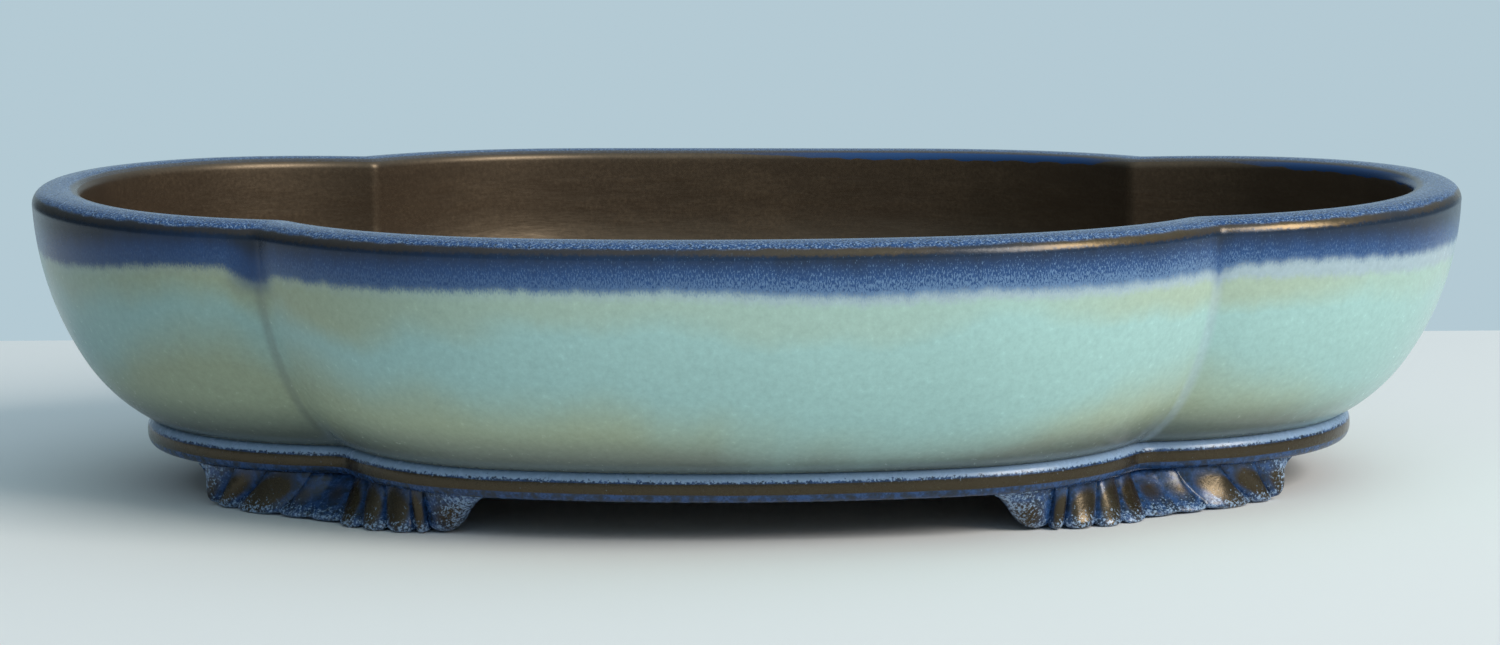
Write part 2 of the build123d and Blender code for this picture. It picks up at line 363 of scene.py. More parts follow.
def lip_section(section):
    """The lip: upright outside, broadly rounded over the top, tighter inside."""
    outer = section.lip_outer_round
    inner = section.lip_inner_round
    width = section.lip_width
    top = TRAY_HEIGHT
    crown = 0.35 * MM
    points = [(outer_inset(section, height), height) for height in levels(LIP_JOINT, top - outer, 6)[:-1]]
    points += [(inset, height) for inset, height in arc((outer, top - outer), outer, 180, 96, 12)]
    middle = (outer + width - inner) / 2
    half = (width - inner - outer) / 2
    for inset in levels(outer, width - inner, 8)[1:-1]:
        points.append((inset, top + crown * (1 - ((inset - middle) / half) ** 2)))
    points += arc((width - inner, top - inner), inner, 84, 0, 8)
    points += [(width, height) for height in levels(top - inner, LIP_JOINT, 4)[1:]]
    return points


def wall_section(section):
    """The wall: its outer face, its joint with the lip, and its inner face down to the floor."""
    outer = [(outer_inset(section, height), height) for height in levels(CREASE_HEIGHT, LIP_JOINT, 32)]
    inner = [(inner_inset(section, height), height) for height in levels(LIP_JOINT, CREASE_HEIGHT, 20)]
    return outer + inner


def belt_section(section):
    """The belt: a rounded shoulder, a swelling face and a tucked-in lower edge."""
    swell = section.belt_swell
    middle = (CREASE_HEIGHT + FOOT_HEIGHT) / 2
    half = (CREASE_HEIGHT - FOOT_HEIGHT) / 2
    face = []
    for step in range(25):
        turn = math.radians(between(-84, 90, step / 24))
        bulge = math.copysign(abs(math.sin(turn)) ** 0.86, turn)
        face.append((1.4 * MM - (swell + 1.4 * MM) * math.cos(turn) ** 0.7, middle + half * bulge))
    return face + [(section.belt_depth, CREASE_HEIGHT), (section.belt_depth, FOOT_HEIGHT)]


# ---------------------------------------------------------------------------
# Feet
# ---------------------------------------------------------------------------

# Widths of the ribs along a foot, from its front end to its end-lobe end.
RIB_WIDTHS = (13.0, 3.4, 7.0, 6.0, 5.5, 9.8, 10.0, 8.5, 9.5)
# The broad rib at the notch has two raised edges and a hollow face.
HOLLOW_RIB = 5
TOE_FRONT = Vector((0.0690, -0.0890))
TOE_FRONT_BOW = Vector((0.0930, -0.0965))
TOE_NOTCH = Vector((0.1090, -0.0770))
TOE_END_BOW = Vector((0.1275, -0.0680))
TOE_END = Vector((0.1460, -0.0475))
HEEL_FRONT = Vector((0.0700, -0.0740))
HEEL_BOW = Vector((0.0930, -0.0650))
HEEL_END = Vector((0.1270, -0.0360))
FOOT_FRONT_ANGLE = math.radians(71.5)
FOOT_END_ANGLE = math.radians(45)
NOTCH_SHARE = 0.50
FRONT_FAN = 1.35
END_FAN = 2.4


def rib_profile(share):
    """Height of the ribs at a share of the foot's length, 0 in a groove and 1 on a crest."""
    total = sum(RIB_WIDTHS)
    start = 0.0
    for index, width in enumerate(RIB_WIDTHS):
        end = start + width / total
        if share <= end or index == len(RIB_WIDTHS) - 1:
            side = min(1.0, max(-1.0, 2 * (share - start) / (end - start) - 1))
            height = math.sqrt(max(0.0, 1 - 0.96 * side * side))
            if index == HOLLOW_RIB:
                height *= 1 - 0.55 * (1 - abs(side)) ** 1.4
            return height
        start = end
    return 0.0


def foot_top(plan, foot, share):
    """The foot's upper outer edge, round the notch under the belt, at the front right foot."""
    outline = Outline(plan, 1, foot.top_set_back)
    end = outline.lengths()[2]
    if share < NOTCH_SHARE:
        reach = outline.shoulder_radius * (FOOT_FRONT_ANGLE - outline.notch_at_shoulder)
        distance = end + reach * (1 - share / NOTCH_SHARE)
    else:
        start = outline.end_radius * FOOT_END_ANGLE
        distance = between(end, start, (share - NOTCH_SHARE) / (1 - NOTCH_SHARE))
    point = outline.softened(distance)[0]
    return Vector((point.x, -point.y))


def foot_toe(share):
    """The foot's outer edge on the ground, which fans out from the notch."""
    if share < NOTCH_SHARE:
        return bezier(TOE_FRONT, TOE_FRONT_BOW, TOE_NOTCH, (share / NOTCH_SHARE) ** FRONT_FAN)
    rest = (share - NOTCH_SHARE) / (1 - NOTCH_SHARE)
    return bezier(TOE_NOTCH, TOE_END_BOW, TOE_END, 1 - (1 - rest) ** END_FAN)


def foot_setter(plan, foot, x_sign, y_sign, variety):
    """How a foot's section is set down, at one of the four notches."""
    depth = 0.02
    end_share = 0.15

    def set_down(share, inset, height):
        level = height / FOOT_HEIGHT
        top = foot_top(plan, foot, share)
        toe = foot_toe(share)
        heel = bezier(HEEL_FRONT, HEEL_BOW, HEEL_END, share)
        outer = toe.lerp(top, level**0.8)
        out = (outer - heel).normalized()
        rib = rib_profile(min(1.0, max(0.0, share + 0.006 * math.sin(9 * share + variety))))
        relief = between(1.0, 0.6, ease(level, 0.55, 1.0)) * ease(share, 0, 0.03) * ease(1 - share, 0, 0.03)
        outer = outer + out * foot.rib_depth * (rib - 0.8) * relief
        tuck = max(0.0, 1 - height / foot.toe_round)
        outer = outer - out * foot.toe_round * (1 - math.sqrt(max(0.0, 1 - tuck * tuck)))
        near_end = min(share, 1 - share) / end_share
        drop = math.sqrt(max(0.03, 1 - (1 - min(1.0, near_end)) ** 2))
        lift = foot.scallop * (1 - rib) * (1 - level) ** 2 * drop
        point = outer.lerp(heel, inset / depth)
        height = FOOT_HEIGHT - (FOOT_HEIGHT - height) * drop + lift * (1 - inset / depth)
        speck = noise.noise(Vector((point.x, point.y, height)) * 140 + Vector((variety, 0, 0)))
        point = point + out * 0.0003 * speck * (1 - inset / depth)
        marks = (share * 0.09 + variety, height, inset, share, rib * relief)
        return Vector((x_sign * point.x, -y_sign * point.y, height)), marks

    return set_down


def foot_section(depth=0.02):
    """The foot's section: its face, its flat sole and its plain back."""
    face = [(0.0, height) for height in levels(FOOT_HEIGHT, 0, 22)]
    sole = [(inset, 0.0) for inset in levels(0, depth, 5)[1:]]
    back = [(depth, height) for height in levels(0, FOOT_HEIGHT, 4)[1:]]
    return face + sole + back


# ---------------------------------------------------------------------------
# Wiring for the glazes
# ---------------------------------------------------------------------------


class Wiring:
    """Short names for the nodes that the glazes are wired from."""

    def __init__(self, tree):
        self.tree = tree

    def add(self, kind, settings=None, **inputs):
        """Adds a node, sets its settings, and feeds its inputs with sockets or plain values."""
        node = self.tree.nodes.new(kind)
        for name, value in (settings or {}).items():
            setattr(node, name, value)
        for name, value in inputs.items():
            self.feed(node.inputs[name.replace("_", " ")], value)
        return node

    def feed(self, socket, value):
        """Links a socket, or sets it to a plain value."""
        if isinstance(value, bpy.types.NodeSocket):
            self.tree.links.new(value, socket)
        else:
            socket.default_value = value

    def arithmetic(self, operation, *values, clamp=False):
        """One step of arithmetic."""
        node = self.tree.nodes.new("ShaderNodeMath")
        node.operation = operation
        node.use_clamp = clamp
        for socket, value in zip(node.inputs, values):
            self.feed(socket, value)
        return node.outputs[0]

    def plus(self, first, second):
        """The two added."""
        return self.arithmetic("ADD", first, second)

    def minus(self, first, second, clamp=False):
        """The second taken from the first."""
        return self.arithmetic("SUBTRACT", first, second, clamp=clamp)

    def times(self, first, second):
        """The two multiplied."""
        return self.arithmetic("MULTIPLY", first, second)

    def swing(self, noise_value, width):
        """Noise about 0.5, brought to about 0 and scaled."""
        return self.times(self.minus(noise_value, 0.5), width)

    def group(self, name, **inputs):
        """The outputs of an effect placed here."""
        return self.add("ShaderNodeGroup", {"node_tree": bpy.data.node_groups[name]}, **inputs).outputs

    def rise(self, value, low, high):
        """0 at low, 1 at high and beyond, smooth between them. low may be the larger."""
        node = self.add("ShaderNodeMapRange", {"interpolation_type": "SMOOTHSTEP"}, Value=value)
        self.feed(node.inputs["From Min"], low)
        self.feed(node.inputs["From Max"], high)
        return node.outputs["Result"]

    def mark(self, name):
        """A mark that the strips carry."""
        return self.add("ShaderNodeAttribute", {"attribute_name": name}).outputs["Fac"]

    def place(self):
        """The point on the object."""
        return self.add("ShaderNodeTexCoord").outputs["Object"]

    def vector(self, x, y, z):
        """A vector from three values."""
        return self.add("ShaderNodeCombineXYZ", None, X=x, Y=y, Z=z).outputs[0]

    def cloud(self, vector, scale, detail=2.0, roughness=0.5, distortion=0.0):
        """Soft noise about 0.5."""
        node = self.add(
            "ShaderNodeTexNoise", None, Vector=vector, Scale=scale, Detail=detail,
            Roughness=roughness, Distortion=distortion,
        )
        return node.outputs["Fac"]

    def mix(self, factor, first, second):
        """A colour part of the way from first to second."""
        node = self.tree.nodes.new("ShaderNodeMix")
        node.data_type = "RGBA"
        self.feed(node.inputs[0], factor)
        self.feed(node.inputs[6], first)
        self.feed(node.inputs[7], second)
        return node.outputs[2]

    def blend_value(self, factor, first, second):
        """A value part of the way from first to second."""
        node = self.tree.nodes.new("ShaderNodeMix")
        self.feed(node.inputs[0], factor)
        self.feed(node.inputs[2], first)
        self.feed(node.inputs[3], second)
        return node.outputs[0]


def effect(name, inputs, outputs):
    """A new shader node group with named sockets, its wiring, and its two end nodes."""
    group = bpy.data.node_groups.new(name, "ShaderNodeTree")
    for title, kind in inputs:
        group.interface.new_socket(name=title, in_out="INPUT", socket_type=kind)
    for title, kind in outputs:
        group.interface.new_socket(name=title, in_out="OUTPUT", socket_type=kind)
    start = group.nodes.new("NodeGroupInput")
    end = group.nodes.new("NodeGroupOutput")
    return group, Wiring(group), start.outputs, end.inputs


def colour(rgb):
    """A colour with full alpha."""
    return (*rgb, 1.0)


NUMBER = "NodeSocketFloat"
TINT = "NodeSocketColor"


def streak_effect():
    """Runs of glaze down the wall: fine hare's-fur lines over wider, slower ones."""
    group, wire, given, result = effect(
        "Glaze Runs", [("Around", NUMBER), ("Up", NUMBER)], [("Runs", NUMBER), ("Fur", NUMBER)]
    )
    fine = wire.vector(wire.times(given[0], 3000), wire.times(given[1], 1000), 0.0)
    wide = wire.vector(wire.times(given[0], 190), wire.times(given[1], 60), 7.0)
    hairs = wire.cloud(fine, 1.0, 3.0, 0.7)
    folds = wire.cloud(wide, 1.0, 3.0, 0.6)
    wire.feed(result[0], folds)
    wire.feed(result[1], hairs)
    return group


def freckle_effect():
    """Fine pale freckles where the blue glaze has broken."""
    group, wire, given, result = effect(
        "Glaze Freckles", [("Scale", NUMBER), ("Cover", NUMBER)], [("Freckles", NUMBER)]
    )
    place = wire.place()
    spots = wire.cloud(place, given[0], 3.0, 0.75)
    low = wire.minus(0.72, wire.times(given[1], 0.42))
    wire.feed(result[0], wire.rise(spots, low, wire.plus(low, 0.10)))
    return group


def rim_glaze_effect(glaze):
    """The blue rim glaze run over the celadon body glaze, by height up the wall."""
    group, wire, given, result = effect(
        "Tray Glaze",
        [("Around", NUMBER), ("Up", NUMBER), ("Notch", NUMBER)],
        [("Color", TINT), ("Roughness", NUMBER), ("Height", NUMBER), ("Lustre", NUMBER)],
    )
    around, up, notch = given[0], given[1], given[2]
    place = wire.place()
    folds, fur = wire.group("Glaze Runs", Around=around, Up=up)[:2]
    broad = wire.cloud(place, 9.0, 2.0)
    patch = wire.cloud(place, 17.0, 2.0, 0.5, 0.3)
    notch_edge = wire.plus(notch, wire.swing(broad, 0.012))
    lean = wire.add("ShaderNodeSeparateXYZ", None, Vector=place).outputs[0]
    cool = wire.rise(lean, -0.09, 0.06)
    near_notch = wire.rise(wire.plus(notch_edge, wire.times(cool, 0.004)), 0.010, 0.001)

    # The level that the colours follow: the runs, slow drifts and the notches all pull it about.
    pull = wire.swing(folds, 0.003)
    drift = wire.swing(broad, 0.008)
    far = wire.rise(wire.arithmetic("ABSOLUTE", lean), 0.140, 0.188)
    sink = wire.plus(wire.times(near_notch, 0.003), wire.times(far, 0.0035))
    level = wire.plus(wire.plus(up, pull), wire.plus(drift, sink))

    # The body: painted shade, dark grey-green, in the crease at the belt, olive over it and under the fringe,
    # celadon between.
    wander = wire.swing(patch, 0.030)
    body_level = wire.plus(level, wander)
    side = wire.rise(notch, 0.075, 0.015)
    crease_shade_to_olive = wire.mix(wire.rise(up, 0.020, 0.034), colour(glaze.crease_shade), colour(glaze.olive))
    low_edge = wire.plus(0.030, wire.times(side, 0.012))
    low_edge = wire.minus(low_edge, wire.times(wire.minus(cool, 0.7), 0.009))
    turquoise = wire.rise(body_level, wire.minus(low_edge, 0.010), wire.plus(low_edge, 0.010))
    body = wire.mix(turquoise, crease_shade_to_olive, colour(glaze.celadon))
    thin = wire.times(wire.rise(body_level, 0.053, 0.064), wire.plus(0.60, wire.times(side, 0.40)))
    thin = wire.minus(thin, wire.times(cool, 0.30), clamp=True)
    body = wire.mix(thin, body, colour(glaze.olive))
    # At the notches a narrow line: painted shade on the left, the pale fringe on the right.
    seam = wire.times(wire.rise(notch, 0.0030, 0.0005), 0.40)
    body = wire.mix(seam, body, wire.mix(cool, colour(glaze.crease_shade), colour(glaze.fringe)))

    # The rim: pale hairs crowd together down the dark blue until they join into the fringe.
    crowd = wire.rise(level, 0.0785, 0.0665)
    hair_low = wire.minus(0.62, wire.times(crowd, 0.24))
    hairs = wire.rise(fur, hair_low, wire.plus(hair_low, 0.09))
    depth = wire.mix(wire.rise(level, 0.0715, 0.0785), colour(glaze.cobalt), colour(glaze.night))
    lobe = wire.rise(wire.arithmetic("ABSOLUTE", lean), 0.112, 0.145)
    shown = wire.plus(0.22, wire.times(cool, 0.36))
    shown = wire.times(shown, wire.minus(1.0, wire.times(lobe, 0.55)))
    blue = wire.mix(wire.times(hairs, shown), depth, colour(glaze.hair))
    ragged = wire.plus(level, wire.swing(fur, 0.004))
    veil = wire.plus(0.18, wire.times(cool, 0.72))
    tone = wire.mix(wire.times(wire.rise(ragged, 0.0646, 0.0672), veil), body, colour(glaze.fringe))
    thinned = wire.minus(ragged, wire.times(wire.times(lobe, cool), 0.0020))
    tone = wire.mix(wire.rise(thinned, 0.0666, 0.0694), tone, blue)
    # Near the notches, high on the wall, the glaze is darkened to the deep blue: partly real pooling, partly
    # painted shade.
    notch_pool_and_shade = wire.times(near_notch, wire.rise(up, 0.060, 0.068))
    tone = wire.mix(wire.times(notch_pool_and_shade, 0.8), tone, depth)

    # The edge of the lip, where the glaze breaks to a lustrous brown.
    edge = wire.plus(up, wire.swing(broad, 0.003))
    grain = wire.cloud(place, 900.0, 3.0, 0.7)
    edge = wire.plus(edge, wire.swing(grain, 0.0025))
    fired = wire.plus(0.35, wire.times(wire.rise(lean, -0.05, 0.10), 0.55))
    broken = wire.times(wire.rise(edge, 0.0768, 0.0778), wire.times(wire.rise(patch, 0.25, 0.6), fired))
    tone = wire.mix(broken, tone, colour(glaze.bronze))

    mottle = wire.cloud(place, 520.0, 4.0, 0.7)
    # Random mottling, and painted shade: the glaze darkened towards the left end, the side away from the key
    # light.
    mottle_and_left_shade = wire.plus(0.80, wire.times(mottle, 0.40))
    mottle_and_left_shade = wire.times(mottle_and_left_shade, wire.plus(0.70, wire.times(wire.rise(lean, -0.175, -0.03), 0.30)))
    tone_with_left_shade = wire.tree.nodes.new("ShaderNodeMix")
    tone_with_left_shade.data_type = "RGBA"
    tone_with_left_shade.blend_type = "MULTIPLY"
    tone_with_left_shade.inputs[0].default_value = 1.0
    wire.feed(tone_with_left_shade.inputs[6], tone)
    wire.feed(tone_with_left_shade.inputs[7], wire.vector(mottle_and_left_shade, mottle_and_left_shade, mottle_and_left_shade))

    pits = wire.tree.nodes.new("ShaderNodeTexVoronoi")
    wire.feed(pits.inputs["Vector"], place)
    pits.inputs["Scale"].default_value = 75.0
    chance = wire.add("ShaderNodeSeparateColor", None, Color=pits.outputs["Color"]).outputs[0]
    pit = wire.times(wire.rise(pits.outputs["Distance"], 0.060, 0.030), wire.rise(chance, 0.93, 0.95))
    dark = wire.mix(wire.times(pit, 0.8), tone_with_left_shade.outputs[2], colour(glaze.clay))
    wire.feed(result[0], dark)
    wire.feed(result[1], wire.plus(0.14, wire.times(mottle, 0.20)))
    relief = wire.plus(wire.times(mottle, 0.35), wire.times(broad, 1.2))
    wire.feed(result[2], wire.minus(relief, wire.times(pit, 1.5)))
    wire.feed(result[3], wire.times(broken, 0.8))
    return group


def iron_glaze_effect(glaze):
    """The blue glaze where it breaks to bronze over the raised parts of the belt and feet."""
    group, wire, given, result = effect(
        "Iron Glaze",
        [("Crest", NUMBER), ("Powder", NUMBER)],
        [("Color", TINT), ("Roughness", NUMBER), ("Height", NUMBER), ("Lustre", NUMBER)],
    )
    place = wire.place()
    mottle = wire.cloud(place, 420.0, 4.0, 0.7)
    slow = wire.cloud(place, 60.0, 2.0)
    ragged = wire.plus(given[0], wire.swing(slow, 0.5))
    ragged = wire.plus(ragged, wire.swing(mottle, 0.5))
    tone = wire.mix(wire.rise(mottle, 0.35, 0.65), colour(glaze.night), colour(glaze.cobalt))
    broken = wire.rise(ragged, 0.42, 0.70)
    tone = wire.mix(broken, tone, colour(glaze.iron))
    freckles = wire.group("Glaze Freckles", Scale=1300.0, Cover=given[1])
    tone = wire.mix(wire.times(freckles[0], 0.75), tone, colour(glaze.sky))
    bare_of_freckles = wire.minus(1.0, freckles[0])
    wire.feed(result[0], tone)
    wire.feed(result[1], wire.plus(0.14, wire.times(mottle, 0.24)))
    wire.feed(result[2], mottle)
    wire.feed(result[3], wire.times(wire.times(broken, bare_of_freckles), 0.7))
    return group


# The marks of wiping run round the tray, so they change faster upwards.
WIPED_ALONG = 55
WIPED_UP = 240


def stoneware_effect(glaze):
    """Bare fired stoneware: dark, a little glossy, wiped and grainy."""
    group, wire, _, result = effect(
        "Bare Stoneware", [], [("Color", TINT), ("Roughness", NUMBER), ("Height", NUMBER)]
    )
    place = wire.place()
    parts = wire.add("ShaderNodeSeparateXYZ", None, Vector=place).outputs
    wiped = wire.vector(
        wire.times(parts[0], WIPED_ALONG), wire.times(parts[1], WIPED_ALONG), wire.times(parts[2], WIPED_UP)
    )
    lines = wire.cloud(wiped, 1.0, 3.0, 0.6)
    grain = wire.cloud(place, 900.0, 3.0, 0.7)
    bloom = wire.cloud(place, 24.0, 3.0, 0.6)
    pale = wire.plus(wire.times(lines, 0.35), wire.times(bloom, 0.55))
    pale = wire.plus(pale, wire.swing(grain, 0.5))
    wire.feed(result[0], wire.mix(wire.rise(pale, 0.35, 0.85), colour(glaze.clay), colour(glaze.clay_light)))
    wire.feed(result[1], wire.plus(0.26, wire.times(grain, 0.24)))
    wire.feed(result[2], wire.plus(wire.times(bloom, 2.0), wire.times(lines, 0.4)))
    return group


# The glaze is satin, and the wiped clay has a slightly coppery sheen.
GLAZE_SHEEN = 0.3
CLAY_SHEEN = 0.9
WARM_SHEEN = (1.0, 0.80, 0.58)


def new_material(name, base):
    """A Principled material, its wiring and its shader."""
    material = bpy.data.materials.new(name)
    material.use_nodes = True
    material.diffuse_color = colour(base)
    wire = Wiring(material.node_tree)
    shader = material.node_tree.nodes["Principled BSDF"]
    return material, wire, shader


def wear(wire, shader, tone, roughness, height, depth):
    """Feeds a shader its colour, roughness and relief."""
    wire.feed(shader.inputs["Base Color"], tone)
    wire.feed(shader.inputs["Roughness"], roughness)
    bump = wire.add("ShaderNodeBump", None, Height=height, Strength=0.6, Distance=depth)
    wire.feed(shader.inputs["Normal"], bump.outputs[0])


def wall_material(glaze):
    """The outside of the wall."""
    material, wire, shader = new_material("celadon_wall", glaze.celadon)
    made = wire.group("Tray Glaze", Around=wire.mark("around"), Up=wire.mark("up"), Notch=wire.mark("notch"))
    wear(wire, shader, made[0], made[1], made[2], 0.00025)
    shader.inputs["Specular IOR Level"].default_value = GLAZE_SHEEN
    return material


def lip_material(glaze):
    """The lip: lustrous edges, cobalt top, and bare clay below a ragged line inside."""
    material, wire, shader = new_material("cobalt_lip", glaze.cobalt)
    up, across = wire.mark("up"), wire.mark("across")
    made = wire.group("Tray Glaze", Around=wire.mark("around"), Up=up, Notch=wire.mark("notch"))
    place = wire.place()
    ragged = wire.cloud(place, 140.0, 3.0)
    slow = wire.cloud(place, 11.0, 1.0)
    mottle = wire.cloud(place, 1100.0, 3.0, 0.7)
    top = wire.mix(wire.rise(mottle, 0.30, 0.55), colour(glaze.night), colour(glaze.cobalt))
    freckles = wire.group("Glaze Freckles", Scale=1900.0, Cover=0.50)
    top = wire.mix(wire.times(freckles[0], 0.6), top, colour(glaze.sky))
    shifted = wire.plus(across, wire.swing(ragged, 0.0012))
    on_top = wire.rise(shifted, 0.0008, 0.0015)
    inner_edge = wire.rise(shifted, 0.0098, 0.0114)
    tone = wire.mix(on_top, made[0], top)
    tone = wire.mix(wire.times(inner_edge, 0.85), tone, colour(glaze.iron))
    clay = wire.group("Bare Stoneware")
    lean = wire.add("ShaderNodeSeparateXYZ", None, Vector=place).outputs[0]
    drips = wire.times(wire.rise(slow, 0.35, 0.55), wire.rise(lean, -0.02, 0.04))
    reach = wire.times(drips, wire.plus(0.0006, wire.times(ragged, 0.0024)))
    edge = wire.minus(TRAY_HEIGHT - 0.8 * MM, reach)
    tone = wire.mix(wire.times(drips, wire.rise(across, 0.0119, 0.0125)), tone, colour(glaze.cobalt))
    inside = wire.times(wire.rise(across, 0.0119, 0.0122), wire.rise(up, wire.plus(edge, 0.0003), edge))
    tone = wire.mix(inside, tone, clay[0])
    rough = wire.blend_value(inside, made[1], clay[1])
    wear(wire, shader, tone, rough, made[2], 0.00022)
    lustre = wire.times(made[3], wire.minus(1.0, on_top))
    wire.feed(shader.inputs["Metallic"], lustre)
    wire.feed(shader.inputs["Specular IOR Level"], wire.blend_value(inside, GLAZE_SHEEN, CLAY_SHEEN))
    wire.feed(shader.inputs["Specular Tint"], wire.mix(inside, colour((1, 1, 1)), colour(WARM_SHEEN)))
    return material


def belt_material(glaze):
    """The belt: powdery blue shoulder, bronze face, blue lower edge."""
    material, wire, shader = new_material("bronze_belt", glaze.bronze)
    crest = wire.mark("crest")
    powder = wire.plus(wire.times(wire.rise(wire.mark("up"), 0.0158, 0.0178), 0.95), 0.12)
    made = wire.group("Iron Glaze", Crest=crest, Powder=powder)
    wear(wire, shader, made[0], made[1], made[2], 0.00015)
    wire.feed(shader.inputs["Metallic"], made[3])
    return material


def foot_material(glaze):
    """The feet: bronze ribs, blue grooves, powdery ends and toes."""
    material, wire, shader = new_material("bronze_foot", glaze.bronze)
    crest = wire.mark("crest")
    low = wire.rise(wire.mark("up"), 0.0065, 0.0005)
    share = wire.mark("notch")
    ends = wire.arithmetic("MAXIMUM", wire.rise(share, 0.22, 0.06), wire.rise(share, 0.82, 0.97))
    powder = wire.plus(0.16, wire.times(wire.arithmetic("MAXIMUM", low, ends), 0.45))
    shown = wire.minus(crest, wire.plus(0.08, wire.times(wire.arithmetic("MAXIMUM", low, ends), 0.27)))
    made = wire.group("Iron Glaze", Crest=shown, Powder=powder)
    wear(wire, shader, made[0], made[1], made[2], 0.00018)
    wire.feed(shader.inputs["Metallic"], made[3])
    return material


def clay_material(glaze):
    """The bare inside and the underside."""
    material, wire, shader = new_material("bare_clay", glaze.clay)
    made = wire.group("Bare Stoneware")
    wear(wire, shader, made[0], made[1], made[2], 0.0006)
    shader.inputs["Specular IOR Level"].default_value = CLAY_SHEEN
    shader.inputs["Specular Tint"].default_value = colour(WARM_SHEEN)
    return material


# ---------------------------------------------------------------------------
# Operators
# ---------------------------------------------------------------------------


def material(name):
    """A material made earlier."""
    found = bpy.data.materials.get(name)
    if found is None:
        raise RuntimeError(f"mix the glazes before the piece that wears {name}")
    return found


class TRAY_OT_mix_glazes(bpy.types.Operator):
    """Mixes the glazes and the bare clay"""

    bl_idname = "tray.mix_glazes"
    bl_label = "Mix Glazes"

    def execute(self, context):
        glaze = context.scene.tray_glaze
        streak_effect()
        freckle_effect()
        rim_glaze_effect(glaze)
        iron_glaze_effect(glaze)
        stoneware_effect(glaze)
        for mixed in (wall_material, lip_material, belt_material, foot_material, clay_material):
            mixed(glaze)
        return {"FINISHED"}


class TRAY_OT_build_walls(bpy.types.Operator):
    """Builds the four walls, glazed outside and bare inside"""

    bl_idname = "tray.build_walls"
    bl_label = "Build Walls"

    def execute(self, context):
        plan = context.scene.tray_plan
        section = context.scene.tray_section

        def shape(inset, height):
            outside = outer_inset(section, height)
            return outside / section.crease_inset, inset - outside

        for lobe in LOBES:
            strip = turned_strip(wall_section(section), 124, lobe_setter(plan, lobe, shape))
            across = strip.verts.layers.float["across"]

            def bare(face):
                depths = []
                for vert in face.verts:
                    depths.append(vert[across] - outer_inset(section, min(vert.co.z, LIP_JOINT)))
                return min(depths) > 2 * MM

            materials = (material("celadon_wall"), material("bare_clay"))
            finish_piece(f"glazed_wall_{lobe}", strip, [f"wall_{lobe}"], materials, bare)
        return {"FINISHED"}


class TRAY_OT_build_lip(bpy.types.Operator):
    """Builds the thick rounded lip in four strips"""

    bl_idname = "tray.build_lip"
    bl_label = "Build Lip"

    def execute(self, context):
        plan = context.scene.tray_plan
        section = context.scene.tray_section
        glaze = (material("cobalt_lip"),)
        for lobe in LOBES:
            setter = lobe_setter(plan, lobe, lambda inset, height: (0, inset))
            strip = turned_strip(lip_section(section), 140, setter)
            finish_piece(f"glazed_lip_{lobe}", strip, [f"lip_{lobe}"], glaze)
        return {"FINISHED"}


class TRAY_OT_build_belt(bpy.types.Operator):
    """Builds the belt round the foot of the wall in four strips"""

    bl_idname = "tray.build_belt"
    bl_label = "Build Belt"

    def execute(self, context):
        plan = context.scene.tray_plan
        section = context.scene.tray_section

        def crest(inset, height):
            return ease(height, 0.0128, 0.0142) * ease(-height, -0.0170, -0.0158)

        glaze = (material("bronze_belt"),)
        for lobe in LOBES:
            setter = lobe_setter(plan, lobe, lambda inset, height: (1, inset), crest)
            strip = turned_strip(belt_section(section), 124, setter)
            finish_piece(f"glazed_belt_{lobe}", strip, [f"belt_{lobe}"], glaze)
        return {"FINISHED"}


class TRAY_OT_build_feet(bpy.types.Operator):
    """Builds the four fluted bracket feet"""

    bl_idname = "tray.build_feet"
    bl_label = "Build Feet"

    def execute(self, context):
        plan = context.scene.tray_plan
        foot = context.scene.tray_foot
        corners = (("front_right", 1, -1), ("back_right", 1, 1), ("back_left", -1, 1), ("front_left", -1, -1))
        glaze = (material("bronze_foot"),)
        for variety, (corner, x_sign, y_sign) in enumerate(corners):
            setter = foot_setter(plan, foot, x_sign, y_sign, variety * 1.7)
            strip = turned_strip(foot_section(), 300, setter)
            finish_piece(f"fluted_foot_{corner}", strip, [f"foot_{corner}"], glaze)
        return {"FINISHED"}


class TRAY_OT_dress_floor(bpy.types.Operator):
    """Gives the pierced floor slab its bare clay"""

    bl_idname = "tray.dress_floor"
    bl_label = "Dress Floor"

    def execute(self, context):
        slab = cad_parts["floor_slab"]
        slab.data.materials.clear()
        slab.data.materials.append(material("bare_clay"))
        return {"FINISHED"}


# The stage, in metres and degrees.
TABLE_BACK = 0.30
TABLE_REACH = 1.6
TABLE_TONE = (0.80, 0.805, 0.81, 1)
SKY_TONE = (0.455, 0.59, 0.66, 1)
KEY_PLACE = (2.3, -1.6, 1.8)
KEY_TONE = (1.0, 0.92, 0.82)
CAMERA_TURN = 1.54
CAMERA_DISTANCE = 0.9341
CAMERA_HEIGHT = 0.1617
CAMERA_PITCH = 7.237
CAMERA_HEADING = 1.474
CAMERA_ROLL = -0.592
CAMERA_LENS = 79.6


def stage_plane(name, corners, tone):
    """A flat stage piece through four corners."""
    made = bmesh.new()
    made.faces.new([made.verts.new(corner) for corner in corners])
    mesh = bpy.data.meshes.new(name)
    made.to_mesh(mesh)
    made.free()
    matt = bpy.data.materials.new(name)
    matt.use_nodes = True
    shader = matt.node_tree.nodes["Principled BSDF"]
    shader.inputs["Base Color"].default_value = tone
    shader.inputs["Roughness"].default_value = 0.9
    shader.inputs["Specular IOR Level"].default_value = 0.1
    mesh.materials.append(matt)
    flat = bpy.data.objects.new(name, mesh)
    bpy.context.scene.collection.objects.link(flat)


def stage_light(name, place, target, size, energy, tone):
    """A square soft light that faces a target."""
    light = bpy.data.lights.new(name, "AREA")
    light.shape = "SQUARE"
    light.size = size
    light.energy = energy
    light.color = tone
    lamp = bpy.data.objects.new(name, light)
    lamp.location = place
    lamp.rotation_euler = (Vector(target) - Vector(place)).to_track_quat("-Z", "Y").to_euler()
    bpy.context.scene.collection.objects.link(lamp)


